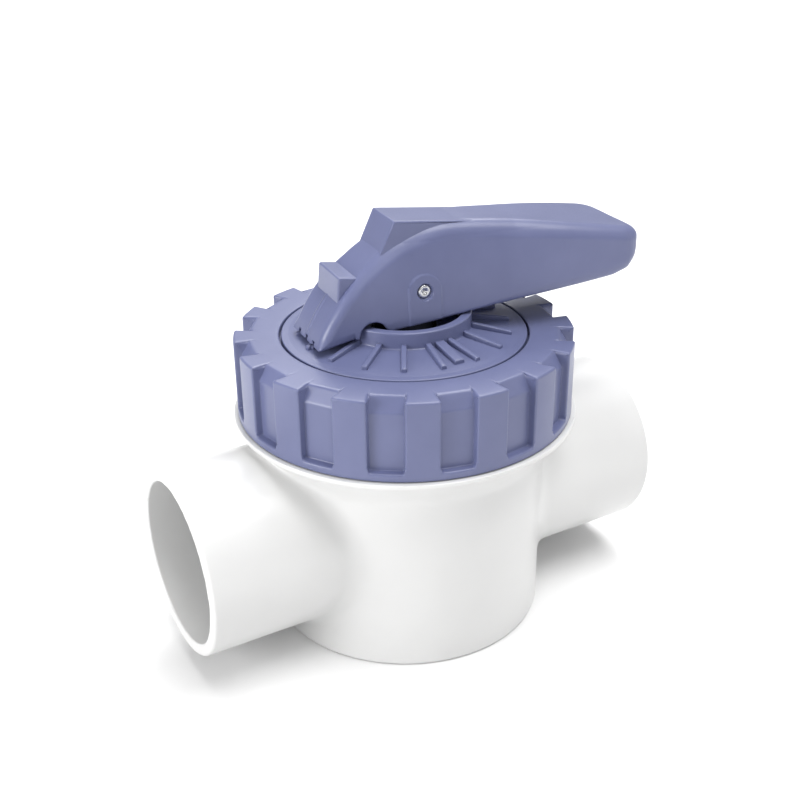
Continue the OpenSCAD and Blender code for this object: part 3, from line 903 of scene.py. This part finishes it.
def table_lookup(xs, ys, table, x, y):
    """Values read from a table with linear blending."""
    i = np.clip((x - xs[0]) / (xs[1] - xs[0]), 0, len(xs) - 1.001)
    j = np.clip((y - ys[0]) / (ys[1] - ys[0]), 0, len(ys) - 1.001)
    a, b = i.astype(int), j.astype(int)
    s, t = i - a, j - b
    return (
        table[a, b] * (1 - s) * (1 - t) + table[a + 1, b] * s * (1 - t)
        + table[a, b + 1] * (1 - s) * t + table[a + 1, b + 1] * s * t
    )


TABLE_U = np.arange(-46, 101, 0.25)
TABLE_H = np.arange(-8, 52, 0.25)
TABLE_V = np.arange(-1, 27, 0.25)
GRID_UH = np.meshgrid(TABLE_U, TABLE_H, indexing="ij")
SIDE_TABLE = polygon_distance(*GRID_UH, side_outline(0))
OPEN_TABLE = polygon_distance(*GRID_UH, side_outline(30))
PLAN_TABLE = polygon_distance(*np.meshgrid(TABLE_U, TABLE_V, indexing="ij"), plan_outline())


def handle_field(u, v, h):
    """Distance field of the hollow handle: u along it, v across it, h above the lock ring."""
    v = np.abs(v)
    side = table_lookup(TABLE_U, TABLE_H, SIDE_TABLE, u, h)
    opened = table_lookup(TABLE_U, TABLE_H, OPEN_TABLE, u, h)
    plan = table_lookup(TABLE_U, TABLE_V, PLAN_TABLE, u, v)
    from_pin = np.hypot(u - PIN_U, h - PIN_H)
    lean = np.interp(u, *LEAN_AT) * np.clip((h - LEAN_LOW) / LEAN_RUN, 0, 1) ** 1.5

    # A faint panel down the side from the pin, and a strip down the middle of the nose
    panel = np.hypot(np.maximum(h - PIN_H, 0), u - PIN_U) - PANEL_R
    raised = PANEL_RAISE * smooth_step(0.5 - panel / 0.8)
    strip = STRIP_RAISE * smooth_step((STRIP_HALF_W - v) / 0.5) * smooth_step((h - 4) / 1.5)
    strip = strip * (u < -24)

    # The rounding of the top edges fades out towards the foot
    rounding = FOOT_ROUND + (np.interp(u, *ROUND_AT) - FOOT_ROUND) * smooth_step((h - 8) / 14)
    nose_rounding = NOSE_ROUND + 2.6 * smooth_step((h - 2.5) / 5)
    rounding = np.where(u < NOSE_U, nose_rounding, rounding)
    outside = round_meet(side - strip, plan + lean - raised, rounding)
    hollow = round_meet(
        opened + HANDLE_WALL, plan + lean + HANDLE_WALL, np.maximum(rounding - 2, 0.5))
    shell = np.maximum(outside, -hollow)

    boss = np.maximum(from_pin - PIN_BOSS_R, PIN_BOSS_V - v)
    shell = np.minimum(shell, np.maximum(boss, outside + 1))
    notch = np.minimum(
        np.hypot(u - NOTCH_U, h - NOTCH_H) - NOTCH_R,
        np.maximum(np.abs(u - NOTCH_U) - NOTCH_R, h - NOTCH_H))
    shell = round_meet(shell, -notch, 0.5)
    slot_v = np.minimum(v, np.abs(v - SLOT_PITCH)) - SLOT_HALF_W
    slots = np.maximum(np.maximum(slot_v, h - SLOT_TOP), u - SLOT_END_U)
    shell = np.maximum(shell, -slots)
    mouth = HOLE_MOUTH * np.clip((v - HOLE_MOUTH_V) / 0.6, 0, 1)
    return np.maximum(shell, PIN_R + HOLE_CLEARANCE + mouth - from_pin)


def bevelled_block(shape, corners, half_w):
    """Prism across the handle with its edges bevelled in two steps."""
    edge = BLOCK_EDGE
    count = len(corners)
    centre = sum((Vector(c) for c in corners), Vector((0, 0))) / count

    def inset(amount):
        """The corners moved inwards, each rounded."""
        out = []
        for i in range(count):
            a, b, c = (Vector(corners[(i + k) % count]) for k in (-1, 0, 1))
            d1, d2 = (b - a).normalized(), (c - b).normalized()
            n1, n2 = Vector((d1.y, -d1.x)), Vector((d2.y, -d2.x))
            if n1.dot(b - centre) < 0:
                n1, n2 = -n1, -n2
            bis = (n1 + n2).normalized()
            p = b - bis * (amount / max(bis.dot(n1), 0.3))
            out.append((p.x, p.y, edge))
        return fillet_path(out, 3)

    sections = []
    for w, amount in (
        (-half_w, edge), (-half_w + edge * 0.3, edge * 0.3), (-half_w + edge, 0),
        (half_w - edge, 0), (half_w - edge * 0.3, edge * 0.3), (half_w, edge),
    ):
        sections.append([(u, w, h) for u, h in inset(amount)])
    shape.loft(sections)


def handle():
    """Hollow handle, and the blocks on its front and top as a second piece."""
    us = spaced(-NOSE_REACH - 1.5, TAIL_REACH + 1.5, HANDLE_STEP)
    vs = spaced(-TAIL_HALF_W - 1.5, TAIL_HALF_W + 1.5, HANDLE_STEP)
    hs = spaced(1.0, CREST_H + 1.5, HANDLE_STEP)
    points, faces, normals = surface_net(us, vs, hs, handle_field)
    lifted = turned([(u, v, h + RING_TOP) for u, v, h in points], HANDLE_YAW)
    facing = turned(normals, HANDLE_YAW)
    make_piece("handle_shell", lifted, faces, "lever", "blue_abs", "handle", facing)
    shape = Shape()
    bevelled_block(shape, FRONT_BLOCK, FRONT_BLOCK_HALF_W)
    sunk_foot = [(u, crest(u) - 1.6) for u in (38, 25, 12, 0, -12)]
    bevelled_block(shape, TOP_BLOCK + sunk_foot, TOP_BLOCK_HALF_W)
    blocks = turned([(u, v, h + RING_TOP) for u, v, h in shape.points], HANDLE_YAW)
    make_piece("handle_blocks", blocks, shape.faces, "lever", "blue_abs", "handle")


# ---------------------------------------------------------------- pivot pin

PIN_HALF_LENGTH = 14.9
PIN_STEPS = 48


def pivot_pin():
    """Steel pin with chamfered ends and a centre mark in each."""
    end = -PIN_HALF_LENGTH
    outline = [
        (0.05, end + 1.1), (0.9, end + 0.25), (1.3, end),
        (PIN_R - 0.6, end), (PIN_R - 0.15, end + 0.15), (PIN_R, end + 0.6), (PIN_R, 0),
    ]
    outline += [(r, -w) for r, w in reversed(outline[:-1])]
    sections = []
    for r, w in outline:
        ring = []
        for k in reversed(range(PIN_STEPS)):
            a = math.tau * k / PIN_STEPS
            ring.append((PIN_U + r * math.cos(a), w, PIN_Z + r * math.sin(a)))
        sections.append(turned(ring, HANDLE_YAW))
    shape = Shape()
    shape.loft(sections)
    make_piece(
        "pivot_pin_turned", shape.points, shape.faces, "lever", "stainless", "pivot_pin")


# ---------------------------------------------------------------- stage

def floor():
    """Wide matt white floor."""
    mesh = bpy.data.meshes.new("floor")
    half = 6.0
    corners = [(-half, -half, 0), (half, -half, 0), (half, half, 0), (-half, half, 0)]
    mesh.from_pydata(corners, [], [(0, 1, 2, 3)])
    material, _ = base_material("floor_white", (0.80, 0.80, 0.80), 0.9, specular=0.0)
    mesh.materials.append(material)
    plane = bpy.data.objects.new("floor", mesh)
    bpy.context.scene.collection.objects.link(plane)


def soft_light(name, place, target, size, power):
    """Round white softbox at place, aimed at target."""
    lamp = bpy.data.lights.new(name, "AREA")
    lamp.shape = "DISK"
    lamp.size = size
    lamp.energy = power
    holder = bpy.data.objects.new(name, lamp)
    holder.location = place
    holder.rotation_euler = (Vector(target) - Vector(place)).to_track_quat("-Z", "Y").to_euler()
    bpy.context.scene.collection.objects.link(holder)


def sky():
    """Studio surround: dim at the horizon and below, bright higher up."""
    world = bpy.data.worlds.new("studio")
    world.use_nodes = True
    tree = world.node_tree
    place = tree.nodes.new("ShaderNodeTexCoord")
    split = tree.nodes.new("ShaderNodeSeparateXYZ")
    ramp = tree.nodes.new("ShaderNodeValToRGB")
    tree.links.new(place.outputs["Generated"], split.inputs["Vector"])
    tree.links.new(split.outputs["Z"], ramp.inputs["Fac"])
    tree.links.new(ramp.outputs["Color"], tree.nodes["Background"].inputs["Color"])
    elements = ramp.color_ramp.elements
    elements[0].position, elements[0].color = 0.20, (0.30, 0.30, 0.31, 1)
    elements[1].position, elements[1].color = 0.60, (0.62, 0.62, 0.62, 1)
    tree.nodes["Background"].inputs["Strength"].default_value = 0.95
    bpy.context.scene.world = world


def lights():
    """Surround, one broad soft sun, and four softboxes."""
    sky()
    sun = bpy.data.lights.new("soft_sky", "SUN")
    sun.energy = 2.7
    sun.angle = math.radians(44)
    holder = bpy.data.objects.new("soft_sky", sun)
    holder.rotation_euler = Vector((0.18, -0.16, 1)).to_track_quat("Z", "Y").to_euler()
    bpy.context.scene.collection.objects.link(holder)
    soft_light("front", (-0.25, -1.1, 1.0), (0, 0, 0.1), 0.5, 1.2)
    soft_light("back", (0.52, 0.84, 1.12), (0, 0, 0.13), 0.8, 11)
    soft_light("right", (1.0, -0.7, 0.45), (0, 0, 0.08), 0.7, 1.0)
    soft_light("left", (-1.2, -0.05, 0.38), (0, 0, 0.08), 0.6, 10)
    bpy.context.scene.view_settings.view_transform = "Standard"


def camera():
    """Camera at the photograph's viewing angle, rolled by half a degree."""
    lens = bpy.data.cameras.new("camera")
    lens.lens = 52.17
    lens.sensor_width = 36
    holder = bpy.data.objects.new("camera", lens)
    back = Vector((-0.4510, -0.7759, 0.4410)).normalized()
    turn = back.to_track_quat("Z", "Y").to_matrix() @ Matrix.Rotation(math.radians(-0.56), 3, "Z")
    holder.matrix_world = Matrix.Translation((-0.2090, -0.3559, 0.2903)) @ turn.to_4x4()
    bpy.context.scene.collection.objects.link(holder)
    bpy.context.scene.camera = holder


def dress_cad_nodes():
    """Puts the materials on the CAD nodes that stay visible."""
    for slot, names in CAD_MATERIALS.items():
        for name in names:
            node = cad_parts[name]
            if not node.material_slots:
                node.data.materials.append(None)
            for holder in node.material_slots:
                holder.material = MATERIALS[slot]


camera()
lights()
floor()
dress_cad_nodes()
valve_body()
lock_ring()
cover()
handle()
pivot_pin()
